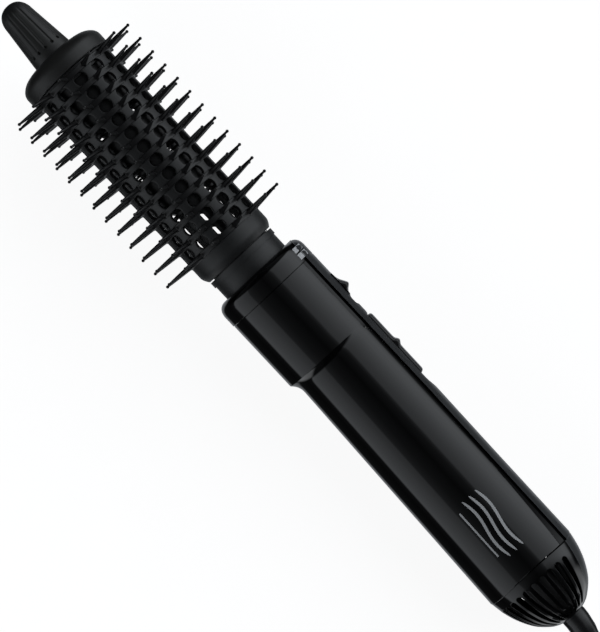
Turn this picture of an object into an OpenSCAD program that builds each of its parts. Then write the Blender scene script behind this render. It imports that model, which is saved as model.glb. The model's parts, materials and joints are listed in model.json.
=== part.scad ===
// Hot air brush: a free-spinning vented round brush on a slim blower handle with a swivel cord.
// Sizes in millimetres. +X runs from the cool tip to the cord, +Y is the switch side, +Z is up.
// The brush lies on its last ring of bristles and on the rear of its grip, so its axis is a little nose-up.

/* [Barrel] */
// Radius of the vented barrel
barrel_r = 19; // [18.8:0.05:19.1]
// Radius of the circle the bristle tips lie on
tip_circle_r = 32.85; // [30:0.05:34]
// Radius at the foot of a bristle
bristle_foot_r = 1.05; // [0.8:0.05:1.1]
// Diameter of an air hole in the barrel
hole_d = 5.84; // [4:0.02:6]

/* [Handle] */
// Radius of the straight front section of the handle
front_r = 22.15; // [22:0.05:22.2]
// Radius of the grip just behind the step
grip_front_r = 20.7; // [20.5:0.05:20.8]
// Radius of the grip where it meets the rear cap
grip_rear_r = 22.4; // [22.2:0.05:22.5]
// Casing screws, thread radius
screw_r = 1.5; // [1.3:0.1:1.6]

/* [Cord] */
// Diameter of the cord
cord_d = 7; // [6.5:0.1:7]
// Radius of the innermost turn of the coil
coil_in_r = 28.5; // [28:0.5:30]

/* [Plug] */
// Diameter of a plug pin
pin_d = 4.8; // [4:0.1:5]
// Length of a plug pin
pin_len = 19; // [17:0.5:20]
// Distance between the pins' centres
pin_gap = 19; // [18:0.1:20]

/* [Hidden] */

ring_count = 13;
ring_pitch = 7.65;
ring_first_x = -138.6;
rows = 12;
bristle_a0 = 9.25;   // angle of a bristle row from straight up, towards -Y
hole_a0 = -5.5;      // angle of a hole row
lean = 2.3;          // bristles lean a little towards the tip
band_w = 2.7;
band_h = 0.5;
foot_z = barrel_r + 0.1;
function ring_x(i) = ring_first_x + ring_pitch * i;

// Resting pose: one bristle tip of the last ring and the rear of the grip touch the floor
rest_a_x = ring_x(12) - 0.55;
rest_a_r = (tip_circle_r) * cos(bristle_a0);
rest_b_x = 142;
rest_b_r = grip_rear_r;
tilt = asin((rest_a_r - rest_b_r) / sqrt(pow(rest_b_x - rest_a_x, 2) + pow(rest_a_r - rest_b_r, 2)));
lift = rest_b_x * sin(tilt) + rest_b_r * cos(tilt);
x_shift = 4.295;

// Grip axis: tips slightly away from the switch side towards the rear
grip_x0 = 25;
grip_y0 = 1.3;
grip_a = -0.976;
grip_len = 120;

// Cord swivel axis
swivel_y = -1.17;

// Lower edge of the switch strip and upper edge of the shells. The dark gap between them is wide in front,
// narrow behind the step in the shells and widens again to the rear.
strip_edge = [[-40, 19.5], [58, 19.5], [145, 18.45], [190, 17.9]];
shell_edge = [[-40, 17.2], [20, 17.2], [25.5, 18.7], [58, 18.8], [76, 18.2], [96.5, 17.6], [112, 16.8], [127, 16.05], [143, 15.2], [190, 12.7]];

module place() { translate([x_shift, 0, lift]) rotate([0, tilt, 0]) children(); }
module floor_place() { translate([x_shift, 0, 0]) children(); }
module rev(p, n = 96) { rotate([0, 90, 0]) rotate_extrude($fn = n) polygon([for (q = p) [q[1], q[0]]]); }
module grip_place() { translate([grip_x0, grip_y0, 0]) rotate([0, 0, grip_a]) children(); }
module rod_x(x0, x1, r, n = 48) { translate([x0, 0, 0]) rotate([0, 90, 0]) cylinder(h = x1 - x0, r = r, $fn = n); }
module tube_x(x0, x1, ro, ri) { rev([[x0, ri], [x0, ro], [x1, ro], [x1, ri]]); }

// ---------- barrel ----------
module cool_tip() {
  color([0.05, 0.05, 0.05]) place() difference() {
    rev([[-180.3, 0], [-180.1, 1.8], [-179.3, 3.9], [-178.0, 5.4], [-176.3, 6.5], [-174.4, 7.1],
         [-169.3, 7.65], [-160.9, 8.5], [-152.4, 9.45], [-151.1, 9.6], [-151.1, 8.0], [-148.8, 8.0],
         [-148.8, 6.4], [-155, 6.4], [-157, 4], [-157, 0]]);
    for (k = [0 : 14]) rotate([24 * k, 0, 0]) {
      translate([-178, 0, 7.17]) rotate([0, 83.96, 0]) cylinder(h = 21.4, r = 0.8, $fn = 24);
      translate([-155.7, 0, 7.9]) cylinder(h = 3, r = 0.75, $fn = 24);
    }
  }
}
module tip_cap() {
  color([0.06, 0.06, 0.06]) place() rev([[-151.3, 9.75], [-151.3, 12.2], [-151.0, 14.2], [-150.5, 16.0], [-149.8, 17.5], [-148.8, 18.9], [-147.4, 20.2],
    [-145.6, 20.8], [-142.2, 20.8], [-141.2, 20.3], [-140.8, 19.6], [-140.8, 17.2], [-136.4, 17.2], [-136.4, 15.9],
    [-141, 15.9], [-143, 17.5], [-146, 17.5], [-148.2, 15.5], [-148.2, 8.6], [-142, 8.6], [-142, 6.5], [-148.5, 6.5], [-148.5, 8.05], [-151.05, 8.05], [-151.05, 9.75]]);
}
module barrel_sleeve() {
  color([0.07, 0.07, 0.07]) place() difference() {
    rev([[-140.8, 17.25], [-140.8, barrel_r], [-38.9, barrel_r], [-36.4, 17.3], [-36.4, 15.75], [-38.4, 15.75], [-38.4, 17.25]]);
    for (c = [0 : ring_count - 2], k = [0 : rows - 1])
      rotate([hole_a0 + 30 * k, 0, 0]) translate([ring_x(c) + ring_pitch / 2, 0, 15]) cylinder(h = 7, d = hole_d, $fn = 32);
    for (k = [0 : rows - 1]) rotate([30 * k, 0, 0]) translate([-39, 14.5, -2]) cube([3.2, 2.1, 4]);
  }
}
module bristle_ring(i) {
  color([0.04, 0.04, 0.04]) place() {
    tube_x(ring_x(i) - band_w / 2, ring_x(i) + band_w / 2, barrel_r + band_h, barrel_r);
    for (k = [0 : rows - 1]) rotate([bristle_a0 + 30 * k, 0, 0]) translate([ring_x(i), 0, foot_z]) rotate([0, -lean, 0]) {
      cylinder(h = tip_circle_r - foot_z - 0.53, r1 = bristle_foot_r, r2 = 0.4, $fn = 24);
      translate([0, 0, tip_circle_r - foot_z - 0.53]) sphere(r = 0.53, $fn = 24);
    }
  }
}
module rear_bush() { color([0.75, 0.72, 0.62]) place() tube_x(-48, -43, 17.25, 15.08); }
module tip_bush() { color([0.72, 0.55, 0.25]) place() tube_x(-148.5, -142, 6.5, 4.06); }

// ---------- air tube and neck ----------
module inner_tube() {
  color([0.6, 0.6, 0.62]) place() difference() {
    tube_x(-142, -22, 15.0, 14.4);
    for (c = [3, 6, 9], s = [-1, 1], k = [0 : 5])
      rotate([60 * k + 24.5, 0, 0]) translate([ring_x(c) + ring_pitch / 2 + s * 1.75 - 1.2, -6, 10]) cube([2.4, 12, 7]);
    for (c = [10, 11], k = [0 : 11])
      rotate([30 * k + hole_a0 + 15, 0, 0]) translate([ring_x(c) + ring_pitch / 2 - 2.8, -3.1, 10]) cube([5.6, 6.2, 7]);
  }
}
module tube_end() {
  color([0.2, 0.2, 0.2]) place() difference() {
    rev([[-149, 0], [-149, 4.0], [-141.4, 4.0], [-141.4, 14.4], [-136, 14.4], [-136, 0]]);
    rod_x(-150, -141, 1.2, 24);
  }
}
module end_washer() { color([0.7, 0.7, 0.7]) place() tube_x(-149.7, -149, 5.8, 1.6); }
module end_screw() {
  color([0.75, 0.75, 0.75]) place() difference() {
    rev([[-152, 0], [-152, 2.2], [-151.4, 2.9], [-149.7, 2.9], [-149.7, 1.5], [-149, 1.5], [-149, 1.2], [-141, 1.2], [-141, 0]]);
    for (a = [0, 90]) rotate([a, 0, 0]) translate([-152.5, -1.6, -0.3]) cube([1.4, 3.2, 0.6]);
  }
}
module neck_tube() {
  color([0.06, 0.06, 0.06]) place() difference() {
    rev([[-35.8, 15.0], [-35.8, 17.25], [-33, 17.25], [-33, 16.7], [-14, 16.7], [-14, 19.9], [-12, 19.9], [-12, 16.4], [-8, 16.4], [-8, 15.0]]);
    translate([-37, 14, -1.8]) cube([30, 1.75, 3.6]);
  }
}

// ---------- handle casing ----------
module cavity() {
  rod_x(-16.5, 15.5, 20.0, 96);
  grip_place() rev([[-10, 0], [-10, 18.6], [0, 18.75], [grip_len, 20.3], [grip_len + 1, 20.3], [grip_len + 1, 0]]);
}
module handle_outer() {
  rod_x(-15.8, 19, front_r, 96);
  intersection() {
    rod_x(18, 30, front_r, 96);
    grip_place() rev([[-7.2, 0], [-7.2, 23.7], [-6.4, 23.55], [-5.3, 23.1], [-4.3, 22.5], [-3.2, 21.8], [-2.1, 21.2],
      [-1, 20.85], [0.4, grip_front_r], [3, grip_front_r], [3, 0]]);
  }
  grip_place() rev([[0, 0], [0, grip_front_r], [grip_len - 0.4, grip_rear_r], [grip_len, grip_rear_r - 0.4], [grip_len, 0]]);
}
module above(edge) { translate([0, 0, -40]) linear_extrude(height = 80) polygon(concat(edge, [[190, 60], [-40, 60]])); }
module rib(x, w, y, r) { difference() { intersection() { rod_x(x, x + w, 21.0, 96); cavity(); } translate([0, y, 0]) rod_x(x - 1, x + w + 1, r, 96); translate([x - 1, 17.2, -3.4]) cube([w + 2, 6, 6.8]); } }
boss_xy = [[24, -12], [104, -13], [104, 12], [137, -13]];
module shell_body() {
  difference() {
    union() {
      difference() { handle_outer(); cavity(); }
      rib(-11.9, 1.5, 0, 16.5);
      rib(9, 1.6, 0, 14.4);
      rib(54, 1.6, 0.5, 17.6);
      rib(94, 1.6, 0.5, 17.6);
      for (b = boss_xy) intersection() { translate([b[0], b[1], -25]) cylinder(h = 50, r = 3.4, $fn = 32); handle_outer(); }
      for (s = [-1, 1]) intersection() { translate([108, 6.4, s < 0 ? -22 : 12]) cube([24, 1.6, 10]); handle_outer(); }
    }
    above(shell_edge);
    for (b = boss_xy) translate([b[0], b[1], 0]) {
      translate([0, 0, -30]) cylinder(h = 42, r = screw_r, $fn = 24);
      translate([0, 0, -40]) cylinder(h = 29, r = 3.0, $fn = 32);
    }
  }
}
module left_shell() { color([0.02, 0.02, 0.025]) place() intersection() { shell_body(); translate([-20, -40, 0]) cube([180, 80, 40]); } }
module right_shell() { color([0.02, 0.02, 0.025]) place() intersection() { shell_body(); translate([-20, -40, -40]) cube([180, 80, 40]); } }
module shell_screws() {
  color([0.6, 0.6, 0.62]) place() for (b = boss_xy) translate([b[0], b[1], 0]) difference() {
    union() { translate([0, 0, -11]) cylinder(h = 22, r = screw_r, $fn = 24); translate([0, 0, -13]) cylinder(h = 2, r = 2.8, $fn = 32); }
    for (a = [0, 90]) rotate([0, 0, a]) translate([-1.6, -0.3, -14]) cube([3.2, 0.6, 2]);
  }
}
module front_ring() {
  color([0.02, 0.02, 0.025]) place() difference() { rev([[-26.2, 16.75], [-26.2, 18.4], [-25.8, 19.9], [-24.8, 21.2], [-23.3, 22.05], [-21.6, 22.4],
    [-16.1, 22.4], [-15.8, 22.1], [-15.8, 19.95], [-14.2, 19.95], [-14.2, 18.4], [-15.8, 18.4], [-15.8, 16.75]]);
    above(shell_edge);
  }
}
module strip_outer(d) {
  translate([0, 2.7, 0]) rev([[-26.2 + d, 0], [-26.2 + d, 16.2 - d], [-25.8 + d, 17.5 - d], [-24.8 + d, 18.8 - d], [-23.3, 19.65 - d], [-21.6, 20 - d], [-1, 20 - d], [-1, 0]]);
  intersection() {
    union() {
      translate([0, 2.7, 0]) rod_x(-1.2, 20, 20 - d, 96);
      grip_place() rev([[-6, 0], [-6, grip_front_r + 0.25 - d], [37, grip_front_r + 0.75 - d], [37, 0]]);
    }
    translate([-5, -30, -30]) cube([70, 51.8, 60]);
  }
  grip_place() rev([[35.5, 0], [35.5, grip_front_r + 0.75 - d], [37, grip_front_r + 0.9 - d], [50, grip_front_r + 0.95 - d],
    [grip_len - 0.4, grip_rear_r - d], [grip_len, grip_rear_r - 0.4 - d], [grip_len, 0]]);
}
module switch_strip() {
  color([0.16, 0.16, 0.17]) place() difference() {
    union() {
      difference() {
        union() {
          intersection() { strip_outer(0); above(strip_edge); }
          intersection() { strip_outer(1.1); above(shell_edge); }
        }
        cavity();
      }
      for (x = [27, 45], z = [-5, 5]) translate([x, 14.5, z]) rotate([-90, 0, 0]) cylinder(h = 6.5, r = 1.3, $fn = 24);
    }
    translate([-4.9, 12, -1.8]) cube([8.3, 20, 3.6]);
    translate([28, 12, -2]) cube([15.5, 20, 4]);
  }
}
dome = [[145, 22.2], [145.4, 22.3], [147.3, 21.8], [149, 21.5], [150.7, 21.1], [152.4, 20.65], [154.1, 20.1], [155.8, 19.45], [157.5, 18.65],
  [159.2, 17.8], [160.9, 16.85], [162.6, 15.75], [164.3, 14.4], [165.9, 12.85], [167.6, 11.0], [169.2, 9.1], [170.2, 7.5]];
// The slots leave out the side under the switch strip
module rear_cap() {
  color([0.02, 0.02, 0.025]) place() difference() {
    grip_place() translate([-grip_x0, 0, 0])
      rev(concat([[142.6, 18.7], [142.6, 20.0], [145, 20.0]], dome, [[170.2, 3], [167.7, 3], [167.7, 8.55], [165.5, 11.2], [161, 14.7], [156, 17.3], [150, 18.7]]));
    translate([0, swivel_y, 0]) rod_x(160, 172, 5.7, 64);
    translate([0, swivel_y + 0.1, 0]) for (k = [27 : 48]) rotate([12 * k - 1, 0, 0]) translate([0, 0, 9]) linear_extrude(height = 16) {
      polygon([[150.7, -1.35], [168.6, -0.6], [168.6, 0.6], [150.7, 1.35], [149.9, 1.0], [149.5, 0], [149.9, -1.0]]);
    }
  }
}

// ---------- heater ----------
module mica_sleeve() { color([0.75, 0.68, 0.5]) place() tube_x(-26, 18, 14.35, 13.9); }
module heater_boards() {
  color([0.8, 0.72, 0.55]) place() {
    translate([-20, -12, -0.4]) cube([34, 24, 0.8]);
    translate([-20, -0.4, -12]) cube([34, 0.8, 24]);
    for (x = [-20, 13.2]) translate([x, 0, 0]) for (a = [45, -45]) rotate([a, 0, 0]) translate([0, -13.8, -0.4]) cube([0.8, 27.6, 0.8]);
  }
}
module heater_wire() {
  color([0.5, 0.47, 0.45]) place() for (i = [0 : 9]) translate([-17.5 + 3.2 * i, 0, 0]) rotate([0, 90, 0])
    rotate_extrude($fn = 64) translate([12.45, 0]) circle(r = 0.4, $fn = 16);
}
module thermostat() { color([0.7, 0.7, 0.68]) place() { translate([2, 3, 0.4]) cube([9, 5, 3.4]); translate([4, 4.2, 3.8]) cube([5, 2.6, 1.0]); } }
module thermal_fuse() { color([0.75, 0.75, 0.72]) place() translate([0, -6, 2.2]) { rod_x(-14, -4, 1.8, 32); rod_x(-18, 0, 0.45, 16); } }

// ---------- blower ----------
fan_y = 0.5;
module fan_duct() { color([0.15, 0.15, 0.15]) place() translate([0, fan_y, 0]) tube_x(48, 100, 17.55, 16.8); }
module motor() {
  color([0.65, 0.65, 0.67]) place() translate([0, fan_y, 0]) difference() {
    union() { rod_x(66, 97, 12.1, 64); rod_x(64.6, 66, 3, 32); for (s = [-1, 1]) translate([97, -1.5, 7 * s - 0.3]) cube([4, 3, 0.6]); }
    rod_x(64, 95, 1.06, 24);
  }
}
module motor_mount() {
  color([0.15, 0.15, 0.15]) place() translate([0, fan_y, 0]) {
    tube_x(68, 84, 13.3, 12.1);
    for (k = [0 : 4]) rotate([72 * k + 36, 0, 0]) translate([69, -0.7, 12.8]) cube([13, 1.4, 3.95]);
  }
}
module motor_shaft() { color([0.8, 0.8, 0.8]) place() translate([0, fan_y, 0]) rod_x(52, 93, 1.0, 24); }
module impeller() {
  color([0.85, 0.85, 0.82]) place() translate([0, fan_y, 0]) difference() {
    union() {
      rev([[52.5, 0], [52.8, 3], [54, 5], [56, 5.8], [63.4, 5.8], [63.4, 0]]);
      intersection() {
        tube_x(52.5, 63.4, 16.2, 4);
        for (k = [0 : 6]) rotate([360 / 7 * k, 0, 0]) translate([58.2, 0, 0]) rotate([0, 0, 38]) translate([-5.6, -0.5, 4]) cube([11.2, 1.0, 13]);
      }
    }
    rod_x(51, 64, 1.0, 24);
  }
}

// ---------- electrics ----------
module switch_body() {
  color([0.1, 0.1, 0.1]) place() difference() {
    union() {
      translate([25, 8.5, -7]) cube([22, 6, 14]);
      for (x = [28, 34, 40]) translate([x, 4.5, -0.4]) cube([2.5, 4, 0.8]);
    }
    translate([28, 10.5, -2]) cube([15.5, 6, 4]);
  }
}
module rectifier_board() { color([0.1, 0.35, 0.15]) place() difference() {
  translate([108, 8, -13]) cube([24, 1.6, 26]);
  for (x = [110, 130], z = [-8, 8]) translate([x, 7, z]) rotate([-90, 0, 0]) cylinder(h = 4, r = 0.6, $fn = 16);
} }
module bridge_diodes() { color([0.1, 0.1, 0.1]) place() for (i = [0 : 3]) translate([113 + 4.6 * i, 11.2, -3]) { cylinder(h = 6, r = 1.6, $fn = 24); translate([0, 0, -2.5]) cylinder(h = 11, r = 0.4, $fn = 16); } }
module wire_run(p, r) { tube_along(p, [for (q = p) r], 6); }
module lead_wires() {
  color([0.5, 0.05, 0.05]) place() for (s = [-1, 1]) {
    wire_run([[38, 5.6, 1.3 * s + 0.6], [46.6, 3, 6.5 * s], [48, 12, 9.2 * s]], 0.7);
    wire_run([[48.5, 19.15, 2 * s], [101.2, 18.85, 2 * s], [108.6, 16.3, 3 * s], [111.8, 10.4, 5.2 * s]], 0.6);
    wire_run([[131, 7.2, 4 * s], [138, 0, 5.8 * s], [150.9, swivel_y, 6.35 * s]], 0.7);
  }
}
module intake_screen() {
  color([0.3, 0.3, 0.3]) place() translate([0, -0.7, 0]) difference() {
    tube_x(141.2, 142.2, 19.9, 8.8);
    for (r = [11, 14.2, 17.4], k = [0 : 23]) rotate([15 * k + r * 3, 0, 0]) translate([141, 0, r]) rotate([0, 90, 0]) cylinder(h = 2, r = r < 12 ? 1.0 : 1.25, $fn = 16);
  }
}

// ---------- cord swivel ----------
module swivel_housing() { color([0.12, 0.12, 0.12]) place() translate([0, swivel_y, 0]) rev([[144, 7.2], [144, 8.1], [167.6, 8.1], [167.6, 7.2]]); }
module swivel_stem() {
  color([0.05, 0.05, 0.05]) place() translate([0, swivel_y, 0]) difference() {
    rev([[148, 0], [148, 4.2], [164.6, 4.2], [164.6, 7.0], [167.3, 7.0], [167.3, 5.62], [171.4, 5.62], [171.4, 0]]);
    rod_x(147, 166, 2.2, 24);
  }
}
module slip_rings() { color([0.78, 0.6, 0.3]) place() translate([0, swivel_y, 0]) for (x = [151, 157]) tube_x(x, x + 3, 5.4, 4.2); }
module contact_springs() {
  color([0.78, 0.6, 0.3]) place() translate([0, swivel_y, 0]) for (x = [151.4, 157.4], s = [-1, 1])
    translate([x, -1.5, s > 0 ? 5.7 : -7.02]) cube([2.2, 3, 1.32]);
}

// ---------- controls ----------
module plate(p, w) { translate([0, 0, -w / 2]) linear_extrude(height = w) polygon(p); }
module mode_button() {
  color([0.03, 0.03, 0.03]) place() {
    plate([[19.3, 22.0], [19.3, 22.7], [19.9, 23.4], [21, 23.75], [34.0, 23.8], [34.9, 24.2], [35.3, 25.0], [36.3, 25.0], [36.7, 24.2],
      [37.6, 23.8], [50.6, 23.75], [51.7, 23.4], [52.2, 22.7], [52.2, 22.0]], 11);
    translate([33.5, 11.2, -1.6]) cube([4.5, 11.2, 3.2]);
  }
}
module release_button() {
  color([0.03, 0.03, 0.03]) place() {
    plate([[-4.2, 22.95], [-4.2, 23.1], [-1.2, 23.35], [0.9, 24.1], [2.3, 25.1], [3.2, 25.5], [4.2, 25.4], [4.9, 24.6], [5.7, 23.4],
      [6.9, 22.7], [8.5, 22.35], [8.5, 22.0], [2.9, 22.0], [2.9, 22.95]], 11);
    translate([-1, 15.55, -1.5]) cube([4, 7.6, 3]);
  }
}
module lock_pawl() {
  color([0.7, 0.7, 0.72]) place() {
    translate([-38.2, 15.15, -1.5]) cube([41.2, 0.4, 3]);
    translate([-38.2, 15.15, -1.7]) cube([1.6, 1.25, 3.4]);
  }
}
spring_n = 7;
spring_seg = 12;
module release_spring() {
  color([0.75, 0.75, 0.77]) place() helix(-10.3, -1.05, 18.05, 1.3, 0.25);
}
function helix_pt(t, x0, x1, y, r) = [x0 + (x1 - x0) * t, y + r * cos(360 * spring_n * t), r * sin(360 * spring_n * t)];
module helix(x0, x1, y, r, w) {
  n = spring_n * spring_seg;
  m = 6;
  pts = [for (i = [0 : n], j = [0 : m - 1]) let (t = i / n, a = 360 * spring_n * t, c = helix_pt(t, x0 + w, x1 - w, y, r), b = 360 * j / m)
    c + [w * sin(b), w * cos(b) * cos(a), w * cos(b) * sin(a)]];
  polyhedron(points = pts, faces = concat(
    [for (i = [0 : n - 1], j = [0 : m - 1]) [i * m + j, i * m + (j + 1) % m, (i + 1) * m + (j + 1) % m, (i + 1) * m + j]],
    [[for (j = [m - 1 : -1 : 0]) j]], [[for (j = [0 : m - 1]) n * m + j]]));
}

// ---------- cord ----------
// The lead leaves the swivel, turns away from the switch side, comes down to the floor and enters the coil
lead_x0 = 171.4 * cos(tilt);
lead_z0 = lift - 171.4 * sin(tilt);
lead_y0 = swivel_y;
turn_a = 43;
arc1_r = 36;  run = 38;
arc1_l = arc1_r * turn_a * PI / 180;
lead_len = arc1_l + run;
drop_len = 66;
coil_turns = 3;
coil_layers = 3;
coil_h = coil_layers * cord_d;
coil_out_r = coil_in_r + coil_turns * cord_d;
arc1_end = [lead_x0 + arc1_r * sin(turn_a), lead_y0 - arc1_r * (1 - cos(turn_a))];
run_end = [arc1_end[0] + run * cos(turn_a), arc1_end[1] - run * sin(turn_a)];
coil_c = run_end + coil_out_r * [sin(turn_a), cos(turn_a)];
function lead_xy(u) = u < arc1_l
  ? let (a = u / arc1_r * 180 / PI) [lead_x0 + arc1_r * sin(a), lead_y0 - arc1_r * (1 - cos(a))]
  : arc1_end + (u - arc1_l) * [cos(turn_a), -sin(turn_a)];
function lead_z(u) = u >= drop_len ? cord_d / 2 : let (t = u / drop_len)
  lead_z0 * (2 * pow(t, 3) - 3 * t * t + 1) - tan(tilt) * drop_len * (pow(t, 3) - 2 * t * t + t) + cord_d / 2 * (3 * t * t - 2 * pow(t, 3));
function lead_pt(u) = [lead_xy(u)[0], lead_xy(u)[1], lead_z(u)];
boot_len = 36;
// The tail comes up off the inner turn onto the coil, runs straight, bends round and ends in the plug, which lies on the coil
up_a = 130;  leave_a = 170;
cross_l = 21;
tail_arc = 190;
tail_1 = (leave_a - up_a) * PI / 180 * coil_in_r;
tail_2 = tail_1 + cross_l;
tail_len = tail_2 + tail_arc * PI / 180 * coil_in_r;
plug_z = coil_h + 13.2;
function ease(t) = let (c = min(max(t, 0), 1)) 3 * c * c - 2 * c * c * c;
function tail_xy(u) = u < tail_1
  ? let (a = up_a + u / coil_in_r * 180 / PI) coil_in_r * [cos(a), sin(a)]
  : u < tail_2
    ? coil_in_r * [cos(leave_a), sin(leave_a)] + (u - tail_1) * [-sin(leave_a), cos(leave_a)]
    : let (a = leave_a + (u - tail_2) / coil_in_r * 180 / PI) cross_l * [-sin(leave_a), cos(leave_a)] + coil_in_r * [cos(a), sin(a)];
function tail_z(u) = coil_h + 1 + 2.5 * ease(u / 20) + (plug_z - coil_h - 3.5) * ease((u - tail_len + 45) / 45);
function tail_pt(u) = [coil_c[0] + tail_xy(u)[0], coil_c[1] + tail_xy(u)[1], tail_z(u)];
plug_x = tail_pt(tail_len)[0];
plug_y = tail_pt(tail_len)[1];

// A tube through points p with radii r, m sides
module tube_along(p, r, m) {
  n = len(p);
  pts = [for (i = [0 : n - 1], j = [0 : m - 1])
    let (d = i == 0 ? p[1] - p[0] : i == n - 1 ? p[n - 1] - p[n - 2] : p[i + 1] - p[i - 1], u = d / norm(d),
         s = cross([0, 0, 1], u) / norm(cross([0, 0, 1], u)), w = cross(u, s), b = 360 * (j + 0.5) / m)
      p[i] + r[i] / cos(90 / m) * (cos(b) * s + sin(b) * w)];
  polyhedron(points = pts, faces = concat(
    [for (i = [0 : n - 2], j = [0 : m - 1]) [i * m + j, (i + 1) * m + j, (i + 1) * m + (j + 1) % m, i * m + (j + 1) % m]],
    [[for (j = [0 : m - 1]) j]], [[for (j = [m - 1 : -1 : 0]) (n - 1) * m + j]]));
}
module cord_boot() {
  n = 12;
  color([0.04, 0.04, 0.04]) floor_place() tube_along([for (i = [0 : n]) lead_pt(boot_len * i / n)],
    [for (i = [0 : n]) 5.6 - 1.4 * pow(i / n, 1.3)], 12);
}
module cord_lead() {
  n = 12;
  color([0.04, 0.04, 0.04]) floor_place() tube_along([for (i = [0 : n]) lead_pt(boot_len + (lead_len - boot_len) * i / n)],
    [for (i = [0 : n]) cord_d / 2 - 0.05], 10);
}
module cord_coil() {
  color([0.04, 0.04, 0.04]) floor_place() translate([coil_c[0], coil_c[1], 0]) rotate_extrude($fn = 96)
    polygon([[coil_in_r - 3.5, 2], [coil_in_r - 1.5, 0], [coil_out_r + 1.5, 0], [coil_out_r + 3.5, 2],
      [coil_out_r + 3.5, coil_h - 2], [coil_out_r + 1.5, coil_h], [coil_in_r - 1.5, coil_h], [coil_in_r - 3.5, coil_h - 2]]);
}
module cord_tail() {
  n = 17;
  color([0.04, 0.04, 0.04]) floor_place() tube_along([for (i = [0 : n]) tail_pt(tail_len * i / n)], [for (i = [0 : n]) cord_d / 2 - 0.05], 10);
}
module plug_body() {
  color([0.05, 0.05, 0.05]) floor_place() translate([plug_x, plug_y, plug_z]) rotate([0, 0, 90]) difference() {
    union() {
      rod_x(0, 20, 5.2, 48);
      intersection() {
        translate([20, -11, -11]) cube([18, 22, 22]);
        rev([[18, 0], [18, 7], [26, 12.5], [38, 14], [38, 0]]);
      }
      translate([33, -13, -10]) cube([24, 26, 20]);
      for (s = [-1, 1]) intersection() { translate([33, s * 4.65, 0]) rod_x(0, 24, 13, 64); translate([30, -20, -13]) cube([30, 40, 26]); }
    }
    for (s = [-1, 1]) translate([0, s * pin_gap / 2, 0]) rod_x(50, 58, 1.9, 32);
  }
}
module plug_pins() {
  color([0.8, 0.65, 0.35]) floor_place() translate([plug_x, plug_y, plug_z]) rotate([0, 0, 90]) for (s = [-1, 1]) translate([0, s * pin_gap / 2, 0])
    rev([[50, 0], [50, 1.9], [57, 1.9], [57, pin_d / 2], [57 + pin_len - 1.2, pin_d / 2], [57 + pin_len - 0.3, pin_d / 2 - 0.7], [57 + pin_len, pin_d / 2 - 1.6], [57 + pin_len, 0]], 48);
}

cool_tip();
tip_cap();
barrel_sleeve();
bristle_ring(0);  // bristle_ring_01
bristle_ring(1);  // bristle_ring_02
bristle_ring(2);  // bristle_ring_03
bristle_ring(3);  // bristle_ring_04
bristle_ring(4);  // bristle_ring_05
bristle_ring(5);  // bristle_ring_06
bristle_ring(6);  // bristle_ring_07
bristle_ring(7);  // bristle_ring_08
bristle_ring(8);  // bristle_ring_09
bristle_ring(9);  // bristle_ring_10
bristle_ring(10);  // bristle_ring_11
bristle_ring(11);  // bristle_ring_12
bristle_ring(12);  // bristle_ring_13
rear_bush();
tip_bush();
inner_tube();
tube_end();
end_washer();
end_screw();
neck_tube();
front_ring();
left_shell();
right_shell();
switch_strip();
rear_cap();
shell_screws();
mica_sleeve();
heater_boards();
heater_wire();
thermostat();
thermal_fuse();
fan_duct();
motor();
motor_mount();
switch_body();
rectifier_board();
bridge_diodes();
lead_wires();
intake_screen();
swivel_housing();
contact_springs();
motor_shaft();
impeller();
mode_button();
release_button();
lock_pawl();
release_spring();
swivel_stem();
slip_rings();
cord_boot();
cord_lead();
cord_coil();
cord_tail();
plug_body();
plug_pins();
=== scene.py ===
import json
import math

import bpy
import bmesh
import numpy as np
from mathutils import Matrix, Vector


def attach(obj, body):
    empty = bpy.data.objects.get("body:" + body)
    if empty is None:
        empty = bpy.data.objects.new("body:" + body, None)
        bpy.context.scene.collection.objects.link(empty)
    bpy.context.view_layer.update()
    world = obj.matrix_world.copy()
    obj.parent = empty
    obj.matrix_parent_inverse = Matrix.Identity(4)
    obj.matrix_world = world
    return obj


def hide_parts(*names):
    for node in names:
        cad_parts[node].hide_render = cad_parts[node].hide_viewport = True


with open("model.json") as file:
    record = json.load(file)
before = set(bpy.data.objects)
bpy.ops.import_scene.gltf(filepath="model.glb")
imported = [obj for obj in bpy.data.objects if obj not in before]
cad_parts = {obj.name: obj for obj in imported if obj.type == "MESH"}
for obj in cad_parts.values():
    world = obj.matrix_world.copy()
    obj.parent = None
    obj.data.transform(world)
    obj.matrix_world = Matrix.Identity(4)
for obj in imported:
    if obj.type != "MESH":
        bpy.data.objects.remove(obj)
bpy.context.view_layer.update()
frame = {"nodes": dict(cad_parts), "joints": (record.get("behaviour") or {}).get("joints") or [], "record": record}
nodes = frame["nodes"]
joints = {j["name"]: j for j in frame["joints"]}

# ---------------------------------------------------------------- the brush's own frame
# x runs along the barrel's axis from the cool tip to the cord, y towards the switches, z towards the camera.
# The barrel's joint stands on the axis at x = -90 mm. Lengths below are in millimetres.
EX = Vector(joints["barrel_spin"]["axis"]).normalized()
EY = Vector((0, 1, 0))
EZ = EX.cross(EY).normalized()
ORG = Vector(joints["barrel_spin"]["pos_m"]) + 0.090 * EX
BASIS = np.array([list(EX), list(EY), list(EZ)])
TILT = math.asin(-EX.z)
LIFT = ORG.z * 1000
XS = ORG.x * 1000


def W(p):
    return (np.atleast_2d(np.asarray(p, float)) * 0.001) @ BASIS + np.array(ORG)


def FLOORP(p):
    return np.atleast_2d(np.asarray(p, float)) * 0.001 + np.array([XS * 0.001, 0, 0])


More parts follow.
